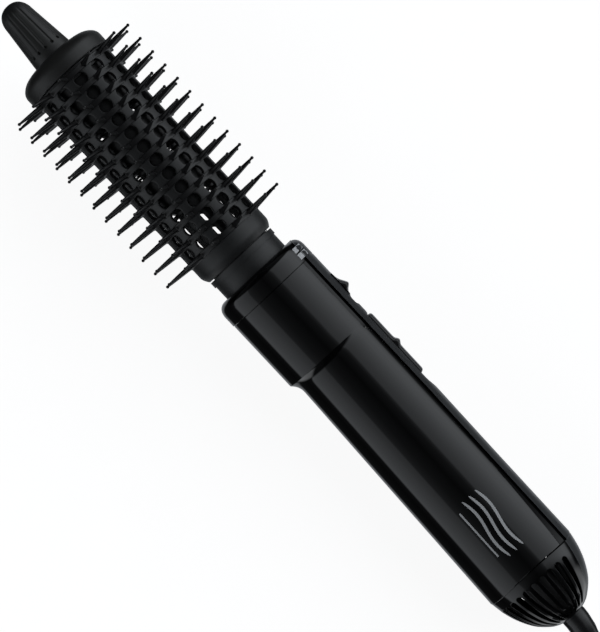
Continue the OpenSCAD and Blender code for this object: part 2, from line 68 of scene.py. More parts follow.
# ---------------------------------------------------------------- camera
cam_data = bpy.data.cameras.new("camera")
cam = bpy.data.objects.new("camera", cam_data)
bpy.context.scene.collection.objects.link(cam)
bpy.context.scene.camera = cam
CA, SA = 0.6834, 0.7300
right = (EX * CA + EY * SA).normalized()
up = (EY * CA - EX * SA).normalized()
eye = Vector(W((-29.6, 0, 1037))[0])
cam.matrix_world = Matrix((
    (right.x, up.x, EZ.x, eye.x),
    (right.y, up.y, EZ.y, eye.y),
    (right.z, up.z, EZ.z, eye.z),
    (0, 0, 0, 1)))
cam_data.lens = 139.56
cam_data.sensor_width = 36
cam_data.sensor_fit = "AUTO"
cam_data.shift_x = 0.0782
cam_data.shift_y = -0.0784
cam_data.clip_start = 0.05
cam_data.clip_end = 60

# ---------------------------------------------------------------- materials


def base_material(name, colour, rough, metallic=0.0, ior=1.5, coat=0.0, coat_rough=0.05):
    m = bpy.data.materials.new(name)
    m.use_nodes = True
    b = m.node_tree.nodes["Principled BSDF"]
    b.inputs["Base Color"].default_value = (*colour, 1)
    b.inputs["Roughness"].default_value = rough
    b.inputs["Metallic"].default_value = metallic
    b.inputs["IOR"].default_value = ior
    b.inputs["Coat Weight"].default_value = coat
    b.inputs["Coat Roughness"].default_value = coat_rough
    return m, b


def noise(m, scale, detail=3.0, rough=0.5, stretch=None):
    t = m.node_tree
    co = t.nodes.new("ShaderNodeTexCoord")
    n = t.nodes.new("ShaderNodeTexNoise")
    n.inputs["Scale"].default_value = scale
    n.inputs["Detail"].default_value = detail
    n.inputs["Roughness"].default_value = rough
    if stretch:
        mp = t.nodes.new("ShaderNodeMapping")
        mp.inputs["Scale"].default_value = stretch
        t.links.new(co.outputs["Object"], mp.inputs["Vector"])
        t.links.new(mp.outputs["Vector"], n.inputs["Vector"])
    else:
        t.links.new(co.outputs["Object"], n.inputs["Vector"])
    return n.outputs["Fac"]


def bump(m, b, fac, strength, distance):
    t = m.node_tree
    k = t.nodes.new("ShaderNodeBump")
    k.inputs["Strength"].default_value = strength
    k.inputs["Distance"].default_value = distance
    t.links.new(fac, k.inputs["Height"])
    t.links.new(k.outputs["Normal"], b.inputs["Normal"])
    return k


def span(m, fac, lo, hi, a=0.3, z=0.7):
    r = m.node_tree.nodes.new("ShaderNodeMapRange")
    r.inputs["From Min"].default_value = a
    r.inputs["From Max"].default_value = z
    r.inputs["To Min"].default_value = lo
    r.inputs["To Max"].default_value = hi
    m.node_tree.links.new(fac, r.inputs["Value"])
    return r.outputs["Result"]


def tint(m, b, fac, c0, c1):
    r = m.node_tree.nodes.new("ShaderNodeValToRGB")
    r.color_ramp.elements[0].position = 0.3
    r.color_ramp.elements[1].position = 0.7
    r.color_ramp.elements[0].color = (*c0, 1)
    r.color_ramp.elements[1].color = (*c1, 1)
    m.node_tree.links.new(fac, r.inputs["Fac"])
    m.node_tree.links.new(r.outputs["Color"], b.inputs["Base Color"])


def plastic(name, c0, c1, r0, r1, grain_scale, grain, grain_mm, cloud=60, **kw):
    """Moulded plastic: cloudy colour and polish, with a fine moulded grain."""
    m, b = base_material(name, c0, r0, **kw)
    f = noise(m, cloud, 4)
    tint(m, b, f, c0, c1)
    m.node_tree.links.new(span(m, noise(m, cloud * 2.3, 5, 0.6), r0, r1), b.inputs["Roughness"])
    bump(m, b, noise(m, grain_scale, 2, 0.5), grain, grain_mm * 0.001)
    return m


MAT = {}
MAT["barrel_black"] = plastic("barrel_black", (0.016, 0.017, 0.0175), (0.021, 0.0215, 0.022), 0.40, 0.50, 2600, 0.25, 0.02)
MAT["bristle_black"] = plastic("bristle_black", (0.010, 0.010, 0.0105), (0.014, 0.014, 0.0145), 0.30, 0.38, 3000, 0.10, 0.01)
MAT["tip_black"] = plastic("tip_black", (0.018, 0.0182, 0.0172), (0.023, 0.0232, 0.0222), 0.42, 0.52, 2400, 0.25, 0.02)
MAT["gloss_black"] = plastic("gloss_black", (0.0022, 0.0022, 0.0024), (0.0030, 0.0030, 0.0032), 0.045, 0.075, 900, 0.015, 0.02, cloud=35)
MAT["strip_grey"] = plastic("strip_grey", (0.040, 0.042, 0.044), (0.052, 0.054, 0.057), 0.26, 0.36, 3500, 0.25, 0.015)
MAT["button_black"] = plastic("button_black", (0.006, 0.006, 0.0065), (0.009, 0.009, 0.0095), 0.20, 0.28, 2500, 0.15, 0.015)
MAT["air_tube"] = plastic("air_tube", (0.012, 0.012, 0.0125), (0.022, 0.022, 0.022), 0.34, 0.50, 700, 0.20, 0.03, metallic=0.25)
MAT["bush_brass"] = plastic("bush_brass", (0.50, 0.38, 0.20), (0.60, 0.46, 0.25), 0.30, 0.42, 900, 0.15, 0.02, metallic=1.0)
MAT["bush_polymer"] = plastic("bush_polymer", (0.55, 0.52, 0.44), (0.60, 0.57, 0.49), 0.38, 0.46, 1500, 0.10, 0.02)
MAT["inner_black"] = plastic("inner_black", (0.014, 0.014, 0.014), (0.020, 0.020, 0.020), 0.42, 0.55, 1800, 0.25, 0.03)
MAT["steel"] = plastic("steel", (0.48, 0.48, 0.49), (0.58, 0.58, 0.59), 0.24, 0.36, 1100, 0.12, 0.02, metallic=1.0)
MAT["mica"] = plastic("mica", (0.50, 0.42, 0.27), (0.62, 0.54, 0.38), 0.42, 0.60, 260, 0.35, 0.10)
MAT["nichrome"] = plastic("nichrome", (0.32, 0.30, 0.28), (0.44, 0.41, 0.38), 0.32, 0.48, 1500, 0.20, 0.03, metallic=1.0)
MAT["board_green"] = plastic("board_green", (0.02, 0.13, 0.05), (0.03, 0.17, 0.07), 0.28, 0.40, 400, 0.15, 0.04)
MAT["wire_red"] = plastic("wire_red", (0.38, 0.02, 0.02), (0.46, 0.03, 0.03), 0.34, 0.44, 1200, 0.10, 0.02)
MAT["motor_can"] = plastic("motor_can", (0.42, 0.42, 0.43), (0.54, 0.54, 0.55), 0.26, 0.38, 800, 0.15, 0.02, metallic=1.0)
MAT["fan_white"] = plastic("fan_white", (0.62, 0.62, 0.60), (0.70, 0.70, 0.68), 0.34, 0.42, 1400, 0.10, 0.02)
MAT["contact_brass"] = plastic("contact_brass", (0.56, 0.42, 0.20), (0.68, 0.52, 0.28), 0.24, 0.36, 900, 0.10, 0.02, metallic=1.0)
MAT["cord_black"] = plastic("cord_black", (0.010, 0.010, 0.0105), (0.015, 0.015, 0.0155), 0.22, 0.32, 1600, 0.20, 0.03)
MAT["pin_metal"] = plastic("pin_metal", (0.60, 0.58, 0.54), (0.72, 0.70, 0.66), 0.16, 0.26, 900, 0.08, 0.02, metallic=1.0)
MAT["mark_silver"] = plastic("mark_silver", (0.62, 0.63, 0.64), (0.70, 0.71, 0.72), 0.45, 0.55, 1200, 0.06, 0.01)

slot_of = {}
for sub in frame["record"].get("subparts", []):
    slot_of[sub["node"]] = sub.get("material_slot")
for name, obj in nodes.items():
    m = MAT.get(slot_of.get(name) or "", MAT["inner_black"])
    for sl in obj.material_slots:
        sl.material = m
    if not obj.material_slots:
        obj.data.materials.append(m)

# ---------------------------------------------------------------- mesh helpers


def make(name, verts, faces, mat, body, stands_for=(), world=False, angle=35.0, mats=None, face_mat=None, flip=False, merge=0.0):
    """A mesh piece. verts are in the brush's own frame in mm, or already in the row frame in metres."""
    co = np.asarray(verts, float)
    if not world:
        co = W(co)
    me = bpy.data.meshes.new(name)
    me.from_pydata([tuple(v) for v in co], [], [list(f) for f in faces])
    keys = mats or [mat]
    for k in keys:
        me.materials.append(MAT[k])
    if face_mat is not None:
        me.polygons.foreach_set("material_index", np.asarray(face_mat, np.int32))
    me.update()
    bm = bmesh.new()
    bm.from_mesh(me)
    if merge:
        bmesh.ops.remove_doubles(bm, verts=bm.verts, dist=merge)
    bmesh.ops.dissolve_degenerate(bm, dist=1e-8, edges=bm.edges)
    bmesh.ops.recalc_face_normals(bm, faces=bm.faces)
    bm.to_mesh(me)
    bm.free()
    me.shade_smooth()
    me.set_sharp_from_angle(angle=math.radians(angle))
    ob = bpy.data.objects.new(name, me)
    bpy.context.scene.collection.objects.link(ob)
    if body:
        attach(ob, body)
    for n in stands_for:
        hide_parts(n)
    return ob


class Build:
    """Collects vertices and faces of one piece."""

    def __init__(self):
        self.v, self.f, self.m = [], [], []

    def add(self, verts, faces, mat=0):
        o = len(self.v)
        self.v += [tuple(float(x) for x in p) for p in verts]
        self.f += [[i + o for i in q] for q in faces]
        self.m += [mat] * len(faces)

    def grid(self, rows, mat=0, wrap=False):
        """rows is a list of lists of points, all the same length."""
        n, k = len(rows), len(rows[0])
        faces = []
        for i in range(n - 1):
            for j in range(k if wrap else k - 1):
                a, b = i * k + j, i * k + (j + 1) % k
                faces.append([a, b, b + k, a + k])
        self.add([p for r in rows for p in r], faces, mat)


def polar(x, r, a):
    """a is measured about +x from +z towards -y, in radians."""
    return (x, -r * math.sin(a), r * math.cos(a))


def smooth_profile(pts, step=0.35):
    """Catmull-Rom through the points, cut to about step mm."""
    p = [np.array(q, float) for q in pts]
    p = [2 * p[0] - p[1]] + p + [2 * p[-1] - p[-2]]
    out = []
    for i in range(1, len(p) - 2):
        n = max(1, int(np.linalg.norm(p[i + 1] - p[i]) / step))
        for k in range(n):
            t = k / n
            out.append(0.5 * ((2 * p[i]) + (-p[i - 1] + p[i + 1]) * t + (2 * p[i - 1] - 5 * p[i] + 4 * p[i + 1] - p[i + 2]) * t * t
                              + (-p[i - 1] + 3 * p[i] - 3 * p[i + 1] + p[i + 2]) * t ** 3))
    out.append(p[-2])
    return [tuple(q) for q in out]


def rounded(pts, seg=4):
    """A polyline in which a third number rounds that corner by that radius."""
    out = []
    for i, q in enumerate(pts):
        r = q[2] if len(q) > 2 else 0
        if not r or i in (0, len(pts) - 1):
            out.append((q[0], q[1]))
            continue
        a, b, c = (np.array(pts[i - 1][:2], float), np.array(q[:2], float), np.array(pts[i + 1][:2], float))
        u, v = (a - b) / np.linalg.norm(a - b), (c - b) / np.linalg.norm(c - b)
        half = math.acos(max(-1, min(1, float(u @ v)))) / 2
        d = min(r / math.tan(half), 0.49 * np.linalg.norm(a - b), 0.49 * np.linalg.norm(c - b))
        rr = d * math.tan(half)
        centre = b + (u + v) / np.linalg.norm(u + v) * rr / math.sin(half)
        s, e = b + u * d - centre, b + v * d - centre
        w = math.acos(max(-1, min(1, float(s @ e) / (rr * rr))))
        for k in range(seg + 1):
            t = k / seg
            out.append(tuple(centre + (math.sin((1 - t) * w) * s + math.sin(t * w) * e) / math.sin(w)) if w > 1e-6 else tuple(b))
    return out


def revolve(prof, n=128, phase=0.0, closed=True, fn=None):
    """Faces of a profile of (x, r) turned about the x axis."""
    b = Build()
    rows = [[polar(x, max(r, 0.0), phase + 2 * math.pi * j / n) for j in range(n)] for x, r in prof]
    if closed:
        rows.append(rows[0])
    b.grid(rows, wrap=True)
    if fn:
        b.v = [fn(p) for p in b.v]
    return b


def put(name, b, mat, body, stands_for=(), **kw):
    kw.setdefault("merge", 2e-6)
    return make(name, b.v, b.f, mat, body, stands_for, face_mat=b.m, **kw)


# ---------------------------------------------------------------- cord (first, with the camera)
CORD_D = 7.0
LZ0 = LIFT - 171.4 * math.sin(TILT)
LX0, LY0 = 171.4 * math.cos(TILT), -1.17
TURN = math.radians(43)
ARC_R, RUN, DROP = 36.0, 38.0, 66.0
ARC_L = ARC_R * TURN
LEAD_L = ARC_L + RUN
COIL_IN, COIL_OUT = 28.5, 49.5
A_END = np.array([LX0 + ARC_R * math.sin(TURN), LY0 - ARC_R * (1 - math.cos(TURN))])
R_END = A_END + RUN * np.array([math.cos(TURN), -math.sin(TURN)])
COIL_C = R_END + COIL_OUT * np.array([math.sin(TURN), math.cos(TURN)])


def lead_pt(u):
    if u < ARC_L:
        a = u / ARC_R
        xy = np.array([LX0 + ARC_R * math.sin(a), LY0 - ARC_R * (1 - math.cos(a))])
    else:
        xy = A_END + (u - ARC_L) * np.array([math.cos(TURN), -math.sin(TURN)])
    t = min(u / DROP, 1.0)
    z = LZ0 * (2 * t ** 3 - 3 * t * t + 1) - math.tan(TILT) * DROP * (t ** 3 - 2 * t * t + t) + CORD_D / 2 * (3 * t * t - 2 * t ** 3)
    return np.array([xy[0], xy[1], z])


def ease(t):
    t = min(max(t, 0.0), 1.0)
    return 3 * t * t - 2 * t ** 3


def coil_pts():
    """Three layers of three turns: inwards on the floor, outwards on top of it, inwards again."""
    out = []
    a = -math.pi / 2 - TURN
    full = 6 * math.pi
    n = 120
    up_1, up_2 = math.radians(100), math.radians(103)
    for i in range(1, n + 1):
        out.append((a + full * i / n, COIL_OUT - 21 * i / n, 3.5))
    a += full
    for i in range(1, 13):
        f = i / 12
        out.append((a + up_1 * f, COIL_IN - 0.4 * math.sin(math.pi * f) ** 2, 3.5 + 7 * ease(f)))
    a += up_1
    for i in range(1, n + 1):
        out.append((a + full * i / n, COIL_IN + 21 * i / n, 10.5))
    a += full
    for i in range(1, 13):
        f = i / 12
        out.append((a + up_2 * f, COIL_OUT + 0.4 * math.sin(math.pi * f) ** 2, 10.5 + 7 * ease(f)))
    a += up_2
    for i in range(1, n + 1):
        out.append((a + full * i / n, COIL_OUT - 21 * i / n, 17.5))
    a += full
    for i in range(1, 13):
        f = i / 12
        out.append((a + math.radians(100) * f, COIL_IN, 17.5 + 7 * ease(f)))
    return [np.array([COIL_C[0] + r * math.cos(q), COIL_C[1] + r * math.sin(q), z]) for q, r, z in out]


# The end comes up off the inner turn, crosses the coil and bends round into the plug, which lies on the coil
LEAVE, CROSS, BEND, PLUG_Z = math.radians(170), 21.0, math.radians(190), 34.2
TAIL_L = CROSS + BEND * COIL_IN
HX, HY = -math.sin(LEAVE), math.cos(LEAVE)


def tail_pt(u):
    if u < CROSS:
        x, y = COIL_IN * math.cos(LEAVE) + u * HX, COIL_IN * math.sin(LEAVE) + u * HY
    elif u < TAIL_L:
        q = LEAVE + (u - CROSS) / COIL_IN
        x, y = CROSS * HX + COIL_IN * math.cos(q), CROSS * HY + COIL_IN * math.sin(q)
    else:
        q = LEAVE + BEND
        x, y = CROSS * HX + COIL_IN * math.cos(q), CROSS * HY + COIL_IN * math.sin(q) + u - TAIL_L
    z = 24.5 + (PLUG_Z - 24.5) * ease((u - TAIL_L + 45) / 45)
    return np.array([COIL_C[0] + x, COIL_C[1] + y, z])


PX, PY = float(tail_pt(TAIL_L)[0]), float(tail_pt(TAIL_L)[1])
line = [lead_pt(LEAD_L * i / 28) for i in range(29)] + coil_pts() + [tail_pt(u) for u in np.arange(3.0, TAIL_L, 3.0)] + [tail_pt(TAIL_L + u) for u in (0, 3, 6, 9)]
line = FLOORP(line)
curve = bpy.data.curves.new("cord_cable", "CURVE")
curve.dimensions = "3D"
sp = curve.splines.new("POLY")
sp.points.add(len(line) - 1)
for p, q in zip(sp.points, line):
    p.co = (*q, 1)
curve.bevel_depth = 0.00345
curve.bevel_resolution = 3
curve.use_fill_caps = True
curve.materials.append(MAT["cord_black"])
for s_ in curve.splines:
    s_.use_smooth = True
cable = bpy.data.objects.new("cord_cable", curve)
bpy.context.scene.collection.objects.link(cable)
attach(cable, "cord_set")
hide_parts("cord_lead", "cord_coil", "cord_tail")


def tube(points, radii, m=24, close_ends=True):
    """Closed tube along points (mm) with radii; frames follow the line without twist."""
    p = [np.array(q, float) for q in points]
    b = Build()
    rows = []
    for i, q in enumerate(p):
        d = p[min(i + 1, len(p) - 1)] - p[max(i - 1, 0)]
        d /= np.linalg.norm(d)
        s = np.cross([0, 0, 1.0], d)
        s /= np.linalg.norm(s)
        w = np.cross(d, s)
        rows.append([q + radii[i] * (math.cos(2 * math.pi * j / m) * s + math.sin(2 * math.pi * j / m) * w) for j in range(m)])
    b.grid(rows, wrap=True)
    if close_ends:
        k = len(rows)
        b.f.append(list(range(m)))
        b.f.append([(k - 1) * m + j for j in range(m)])
        b.m += [0, 0]
    return b


# Strain relief: a smooth shoulder, then shallow rings that get smaller towards the cord
bu, br = [], []
stations = [(0.0, 4.9), (0.05, 5.45), (0.5, 5.62), (3.0, 5.55), (8.0, 5.38), (14.0, 5.12)]
for u, r in stations:
    bu.append(u)
    br.append(r)
u = 15.0
while u < 33.5:
    r = 5.6 - 1.4 * (u / 36) ** 1.3
    for du, dr in ((0, 0), (1.5, -0.06), (1.75, -0.45), (1.85, -0.75), (2.45, -0.75), (2.55, -0.45), (2.8, -0.1)):
        bu.append(u + du)
        br.append(r + dr)
    u += 3.1
for u_, r_ in ((34.2, 4.25), (35.6, 4.18), (36.0, 3.95), (36.05, 3.4)):
    if u_ > bu[-1]:
        bu.append(u_)
        br.append(r_)
bb = tube([lead_pt(x) for x in bu], br, 32)
boot = make("strain_relief", FLOORP(bb.v), bb.f, "cord_black", "cord_set", ["cord_boot"], world=True, angle=40)

# Plug: soft-edged two-pin body with grip hollows, the pins are their own piece
def plug_section(x, w, h, e, n=40):
    """Superellipse of half width w and half height h at distance x from the cord's end."""
    pts = []
    for j in range(n):
        a = 2 * math.pi * j / n
        ca, sa = math.cos(a), math.sin(a)
        pts.append((PX + w * math.copysign(abs(ca) ** (2 / e), ca), PY + x, PLUG_Z + h * math.copysign(abs(sa) ** (2 / e), sa)))
    return pts


prof = [(0.0, 3.5, 3.5, 2), (0.1, 4.6, 4.6, 2), (0.7, 5.1, 5.1, 2)]
for i in range(5):
    x0 = 2.2 + 3.0 * i
    prof += [(x0, 5.2, 5.2, 2), (x0 + 0.3, 4.5, 4.5, 2), (x0 + 0.9, 4.5, 4.5, 2), (x0 + 1.2, 5.2, 5.2, 2)]
prof += [(18.2, 5.3, 5.3, 2), (20.0, 6.2, 6.0, 2.2), (23.0, 8.6, 7.6, 2.5), (26.5, 10.9, 8.9, 2.9), (30.0, 12.4, 10.3, 3.0), (34.0, 14.0, 11.4, 3.2),
         (38.0, 15.6, 12.2, 3.3), (42.0, 16.7, 12.7, 3.4), (47.0, 17.3, 12.9, 3.4), (52.0, 17.55, 12.9, 3.4), (55.6, 17.6, 12.9, 3.4),
         (56.4, 17.4, 12.7, 3.4), (56.85, 17.0, 12.3, 3.4), (57.0, 16.5, 11.8, 3.4), (57.0, 8.0, 4.5, 3.0)]
b = Build()
b.grid([plug_section(*q) for q in prof], wrap=True)
k = len(prof)
b.f += [list(range(40)), [(k - 1) * 40 + j for j in range(40)]]
b.m += [0, 0]
plug = make("plug_moulding", FLOORP(b.v), b.f, "cord_black", "cord_set", ["plug_body"], world=True, angle=38)

# ---------------------------------------------------------------- barrel sleeve
N_RING, PITCH, RING0 = 13, 7.65, -138.6
HOLE_A0, BRISTLE_A0 = math.radians(-5.5), math.radians(9.25)
STEP = math.radians(30)


def holed_cell(b, x0, x1, a_mid, half, outline, r_out, r_in, nb, round_r=0.28, mat=0, xs_mid=None):
    """One cell of a turned skin with a hole through it. outline is a closed list of (x, v), v across the axis in mm,
    counter-clockwise and as long as the cell's edge list. nb = points per (x side, angle side)."""
    nx, na = nb
    edge = []
    for i in range(na):
        edge.append((x1, -half + 2 * half * i / na))
    for i in range(nx):
        edge.append((x1 - (x1 - x0) * i / nx, half))
    for i in range(na):
        edge.append((x0, half - 2 * half * i / na))
    for i in range(nx):
        edge.append((x0 + (x1 - x0) * i / nx, -half))
    n = len(edge)
    assert n == len(outline), (n, len(outline))
    o = np.array(outline, float)
    tang = np.roll(o, -1, 0) - np.roll(o, 1, 0)
    nor = np.stack([tang[:, 1], -tang[:, 0]], 1)
    nor /= np.linalg.norm(nor, axis=1)[:, None]
    if ((o + nor * 0.01 - o.mean(0)) ** 2).sum() < ((o - o.mean(0)) ** 2).sum():
        nor = -nor

    def on(x, v, drop, fr):
        r = fr(x) - drop
        h = math.sqrt(max(r * r - v * v, 0.01))
        a = a_mid + math.atan2(v, h)
        return polar(x, math.hypot(v, h), a)

    def ang(x, v, fr):
        return math.asin(max(-1, min(1, v / fr(x))))

    def blend_rows(fr, start, rings):
        rows = []
        for t in rings:
            row = []
            for (ex, ea), (hx, hv) in zip(edge, start):
                ha = ang(hx, hv, fr)
                row.append(polar(ex + (hx - ex) * t, fr(ex + (hx - ex) * t), a_mid + ea + (ha - ea) * t))
            rows.append(row)
        return rows

    big = o + nor * round_r
    rows = blend_rows(r_out, big, (0, 0.45, 0.8, 1.0))
    rows.append([on(x, v, 0.08 * round_r / 0.28, r_out) for x, v in o + nor * round_r * 0.29])
    rows.append([on(x, v, round_r, r_out) for x, v in o])
    rows.append([on(x, v, 0.0, r_in) for x, v in o])
    rows += blend_rows(r_in, o, (0.6, 0.0))
    b.grid(rows, mat=mat, wrap=True)


def circle_outline(cx, r, nx, na, ratio):
    """Points of a circle in the same order as a cell's edge, starting at its (x1, -half) corner."""
    pts = []
    corner = math.atan2(1.0, ratio)
    a = [(-corner + 2 * corner * i / na) for i in range(na)]
    a += [corner + (math.pi - 2 * corner) * i / nx for i in range(nx)]
    a += [math.pi - corner + 2 * corner * i / na for i in range(na)]
    a += [math.pi + corner + (math.pi - 2 * corner) * i / nx for i in range(nx)]
    return [(cx + r * math.cos(t), r * math.sin(t)) for t in a]


SR, SRI = 19.0, 17.25
b = Build()
for ci in range(12):
    xa = RING0 + PITCH * ci
    for k in range(12):
        holed_cell(b, xa, xa + PITCH, HOLE_A0 + STEP * k, STEP / 2, circle_outline(xa + PITCH / 2, 2.92, 8, 10, 0.80),
                   lambda x: SR, lambda x: SRI, (8, 10))
NB = 120
ph = HOLE_A0 - STEP / 2
xe = RING0 + PITCH * 12
b.grid([[polar(x, r, ph + 2 * math.pi * j / NB) for j in range(NB)] for x, r in
        rounded([(RING0, SRI), (-140.8, SRI), (-140.8, SR, 0.25), (RING0, SR)])], wrap=True)
b.grid([[polar(x, r, ph + 2 * math.pi * j / NB) for j in range(NB)] for x, r in
        [(xe, SR), (-45, SR), (-43, SR)] + smooth_profile([(-40.6, SR), (-39.6, 18.9), (-38.6, 18.55), (-37.5, 17.95), (-36.7, 17.4)], 0.3)
        + [(-36.4, 17.2), (-36.4, 15.8), (-38.4, 15.8), (-38.4, SRI), (xe, SRI)]], wrap=True)
put("barrel_sleeve_vented", b, "barrel_black", "barrel", ["barrel_sleeve"], angle=42)

# ---------------------------------------------------------------- bristle rings


def bristle(b, a, x):
    """One oval bristle with a flared foot and a ball end, leaning a little towards the cool tip."""
    lean = math.radians(2.3)
    prof = [(18.7, 1.62, 1.34), (19.3, 1.52, 1.24), (19.6, 1.30, 1.02), (20.0, 1.18, 0.92), (21.5, 1.10, 0.86), (24.0, 0.98, 0.78),
            (27.0, 0.82, 0.68), (29.5, 0.66, 0.58), (31.0, 0.54, 0.50), (31.62, 0.50, 0.48)]
    c, r = 32.14, 0.72
    for k in range(7):
        t = math.radians(-48 + 138 * k / 6)
        prof.append((c + r * math.sin(t), max(r * math.cos(t), 0.02), max(r * math.cos(t), 0.02)))
    n = 14
    rows = []
    for z, rx, rv in prof:
        row = []
        for j in range(n):
            t = 2 * math.pi * j / n
            px, pv, pz = rx * math.cos(t), rv * math.sin(t), z - 19.1
            px, pz = px * math.cos(lean) - pz * math.sin(lean), pz * math.cos(lean) + px * math.sin(lean)
            h = pz + 19.1
            row.append((x + px, -(h * math.sin(a) + pv * math.cos(a)), h * math.cos(a) - pv * math.sin(a)))
        rows.append(row)
    b.grid(rows, wrap=True)
    o = len(b.v) - n
    b.f.append([o + j for j in range(n)])
    b.m.append(0)


for i in range(N_RING):
    x = RING0 + PITCH * i
    b = revolve(rounded([(x - 1.38, 18.7), (x - 1.38, 19.55, 0.4), (x + 1.38, 19.55, 0.4), (x + 1.38, 18.7)], 4), 120, ph)
    for k in range(12):
        bristle(b, BRISTLE_A0 + STEP * k, x)
    put("bristle_row_%02d" % (i + 1), b, "bristle_black", "barrel", ["bristle_ring_%02d" % (i + 1)], angle=50)

# ---------------------------------------------------------------- cool tip and tip cap
base = smooth_profile([(-180.3, 0.0), (-180.2, 1.7), (-179.5, 3.7), (-178.2, 5.3), (-176.4, 6.45), (-174.4, 7.1), (-172, 7.36), (-169.3, 7.65)], 0.45)
base += [(x, 7.65 + (x + 169.3) * (9.45 - 7.65) / 16.9) for x in np.arange(-168.6, -157.2, 0.8)]
base += [(x, 7.65 + (x + 169.3) * (9.45 - 7.65) / 16.9) for x in np.arange(-157.0, -154.2, 0.14)]
base += [(x, 7.65 + (x + 169.3) * (9.45 - 7.65) / 16.9) for x in (-153.6, -152.4)] + [(-151.35, 9.58), (-151.1, 9.5), (-151.05, 9.2), (-151.05, 8.0)]
off = [-12, -9.5, -7.5, -6, -5, -4.2, -3.5, -2.8, -2.1, -1.4, -0.7, 0, 0.7, 1.4, 2.1, 2.8, 3.5, 4.2, 5, 6, 7.5, 9.5]
cols = [math.radians(24 * k + o) for k in range(15) for o in off]
dev = [math.radians(o) for k in range(15) for o in off]
rows = []
for x, r in base:
    row = []
    fade = max(0.0, min(1.0, (x + 177.6) / 3.0)) * max(0.0, min(1.0, (-155.6 - x) / 0.5))
    for a, d in zip(cols, dev):
        arc = d * r
        g = 0.34 * fade * max(0.0, 1 - (arc / 0.66) ** 2)
        q = math.hypot(x + 155.7, arc) / 0.72
        h = 0.95 * max(0.0, 1 - q ** 4)
        row.append(polar(x, max(r - max(g, h), 0.01), a))
    rows.append(row)
b = Build()
b.grid(rows, wrap=True)
b.f.append([j for j in range(len(cols))])
b.f.append([(len(rows) - 1) * len(cols) + j for j in range(len(cols))])
b.m += [0, 0]
put("cool_tip_fluted", b, "tip_black", "barrel", ["cool_tip"], angle=60)

sh = smooth_profile([(-151.45, 8.6), (-151.5, 10.3), (-151.35, 12.2), (-151.0, 14.2), (-150.5, 16.0), (-149.8, 17.5), (-148.8, 18.9), (-147.4, 20.15), (-145.6, 20.8), (-143.2, 20.82)], 0.4)
cap = [(-151.2, 8.1)] + sh + rounded([(-142.6, 20.8), (-140.9, 20.8, 0.5), (-140.9, 19.2, 0.1), (-140.8, 17.3)], 4)[0:]
cap += [(-136.4, 17.2), (-136.4, 15.9), (-141, 15.9), (-143, 17.4), (-146, 17.4), (-148.2, 15.5), (-148.2, 8.1)]
put("tip_cap_domed", revolve(cap, 144), "tip_black", "barrel", ["tip_cap"], angle=32)

# ---------------------------------------------------------------- handle shells
GA = math.radians(-0.976)


def grip_y(x):
    return 1.3 + math.tan(GA) * (x - 25)


def grip_r(x):
    return 20.7 + (22.4 - 20.7) * (x - 25) / 119.6


FRONT_R = 22.4
COVE_X, COVE_L = 19.0, 6.6


def cove_r(x):
    return grip_r(x) + 0.25


def rad_at(x, psi, off=0.0):
    """Distance from the x axis to the rear part's skin, in the direction psi from +y."""
    def plain(q):
        r = cove_r(q)
        y = grip_y(q)
        w = y * math.sin(psi)
        return y * math.cos(psi) + math.sqrt(max(r * r - w * w, 0.01))
    t = (x - COVE_X) / COVE_L
    extra = 0.0 if t >= 1 else (FRONT_R - plain(COVE_X)) * (1 - max(t, 0)) ** 2.6
    return plain(x) + extra - off


def edge_x(psi, r0=0):
    return COVE_X


def seam_bow(p):
    """The rear seam and the slots' front ends bow forwards on the two broad sides."""
    x, y, z = p
    q = y - grip_y(x)
    rr = q * q + z * z
    if x < 112 or rr < 20.3 ** 2 * (1 if x < 146 else 0.0) or x > 166:
        return p
    w = (x - 112) / 33 if x < 145 else 1.0 if x < 150 else max(0.0, (166 - x) / 16)
    w = w * w * (3 - 2 * w)
    return (x - 0.6 * w - 2.6 * w * z * z / max(rr, 1e-6), y, z)


SHELL_TOP = [(-30, 17.15), (17.6, 17.15), (19.6, 17.3), (21.6, 17.9), (23.4, 18.5), (25.4, 18.8), (30, 18.95), (40, 18.97), (48, 18.9), (56, 18.72), (66, 18.5), (76, 18.25),
             (86, 18.0), (96, 17.68), (106, 17.2), (116, 16.65), (126, 16.1), (136, 15.55), (146, 14.95), (150, 14.7)]
STRIP_LOW = [(-30, 19.5), (50, 19.5), (62, 19.42), (75, 19.28), (90, 19.1), (110, 18.92), (130, 18.72), (146, 18.5), (150, 18.45)]


def table(pts, x):
    return float(np.interp(x, [q[0] for q in pts], [q[1] for q in pts]))


def smooth_table(pts):
    h = np.array(smooth_profile(pts, 0.8))
    return lambda x: float(np.interp(x, h[:, 0], h[:, 1]))


shell_top = smooth_table(SHELL_TOP)
strip_low = smooth_table(STRIP_LOW)


def skin(x, psi, off=0.0, front=True):
    """The casing's skin: a point in the direction psi from +y towards +z."""
    if front:
        r = FRONT_R - off
    else:
        r = rad_at(x, psi, off)
    return (x, r * math.cos(psi), r * math.sin(psi))


